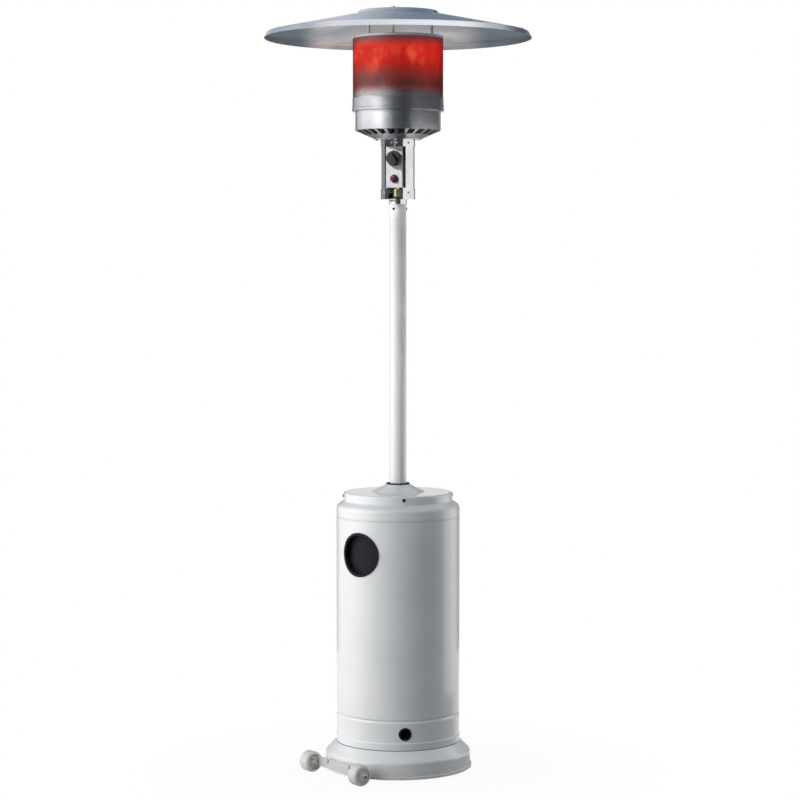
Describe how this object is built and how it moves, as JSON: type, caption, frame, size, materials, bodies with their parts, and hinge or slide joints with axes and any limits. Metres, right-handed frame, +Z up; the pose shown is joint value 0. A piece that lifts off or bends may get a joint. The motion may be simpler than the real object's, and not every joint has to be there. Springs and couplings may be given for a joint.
{
  "type": "mushroom patio heater",
  "caption": "Free-standing gas patio heater: round wheeled base, lifting bottle housing, tall post, control column, glowing perforated emitter and a wide reflector hat.",
  "frame": {"origin": "on the post's axis, on the floor under the rubber feet", "axes": "+Z up along the post, -Y out of the control plate, +X to the right as seen by a person facing the controls"},
  "size_m": [0.8, 0.8, 2.2897],
  "materials": {
    "white_enamel": "gloss white powder coat",
    "frame_paint": "light grey paint",
    "rubber": "matt",
    "zinc_steel": "yellow zinc plating",
    "chrome": "polished",
    "brushed_steel": "brushed stainless",
    "burner_steel": "heat-tinted stainless",
    "glowing_screen": "perforated sheet, red hot",
    "aluminium": "bright rolled sheet",
    "cast_alloy": "cast",
    "brass": "turned",
    "black_plastic": "moulded, fine grain",
    "black_screw": "blackened",
    "red_plastic": "gloss",
    "wheel_plastic": "light grey moulding"
  },
  "bodies": {
    "frame": {"base_feet": "rubber", "base_pan": "white_enamel", "base_cover": "white_enamel", "support_legs": "frame_paint", "leg_bolts": "zinc_steel", "top_spider": "frame_paint", "post": "white_enamel", "flange_bolts": "zinc_steel", "wheel_bracket": "frame_paint", "bracket_bolts": "zinc_steel", "wheel_axle": "zinc_steel", "axle_caps": "chrome", "neck_sleeve": "chrome", "post_screws": "chrome", "column_shell": "chrome", "lower_band": "chrome", "upper_band": "chrome", "band_screws": "chrome", "head_flange": "brushed_steel", "control_plate": "brushed_steel", "plate_screws": "chrome", "gas_valve": "cast_alloy", "igniter_body": "black_plastic", "tilt_switch": "black_plastic", "inlet_fitting": "brass", "gas_tube": "brass", "injector": "brass", "burner_bowl": "brushed_steel", "bowl_screws": "chrome", "burner_head": "burner_steel", "burner_plate": "burner_steel", "pilot_burner": "burner_steel", "thermocouple": "burner_steel", "emitter_collar": "brushed_steel", "emitter_screen": "glowing_screen", "collar_screws": "chrome", "emitter_cap": "brushed_steel", "reflector_studs": "zinc_steel", "stud_washers": "zinc_steel", "stud_nuts": "zinc_steel", "reflector": "aluminium", "lifting_loops": "zinc_steel"},
    "housing": {"housing_skirt": "white_enamel", "housing_shell": "white_enamel", "housing_lid": "white_enamel", "post_grommet": "rubber", "lid_screws": "black_screw", "grip_cups": "black_plastic", "vent_bush": "black_plastic"},
    "valve_spindle": {"valve_spindle": "burner_steel"},
    "control_knob": {"control_knob": "black_plastic"},
    "igniter_button": {"igniter_button": "red_plastic"},
    "wheel_left": {"wheel_left": "wheel_plastic"},
    "wheel_right": {"wheel_right": "wheel_plastic"}
  },
  "joints": [
    {"name": "housing_lift", "type": "slide", "parent": "frame", "child": "housing", "axis": [0, 0, 1], "range_m": [0, 0.6]},
    {"name": "valve_push", "type": "slide", "parent": "frame", "child": "valve_spindle", "axis": [0, 1, 0], "range_m": [0, 0.005], "stiffness_N_per_m": 800, "springref_m": -0.004},
    {"name": "knob_turn", "type": "hinge", "parent": "valve_spindle", "child": "control_knob", "pos_m": [0, -0.058, 1.847], "axis": [0, -1, 0], "range_deg": [-180, 45]},
    {"name": "igniter_press", "type": "slide", "parent": "frame", "child": "igniter_button", "axis": [0, 1, 0], "range_m": [0, 0.006], "stiffness_N_per_m": 600, "springref_m": -0.004},
    {"name": "wheel_left_roll", "type": "hinge", "parent": "frame", "child": "wheel_left", "pos_m": [-0.15298, -0.18232, 0.0325], "axis": [0.766, -0.6428, 0], "continuous": true},
    {"name": "wheel_right_roll", "type": "hinge", "parent": "frame", "child": "wheel_right", "pos_m": [-0.15298, -0.18232, 0.0325], "axis": [0.766, -0.6428, 0], "continuous": true}
  ]
}
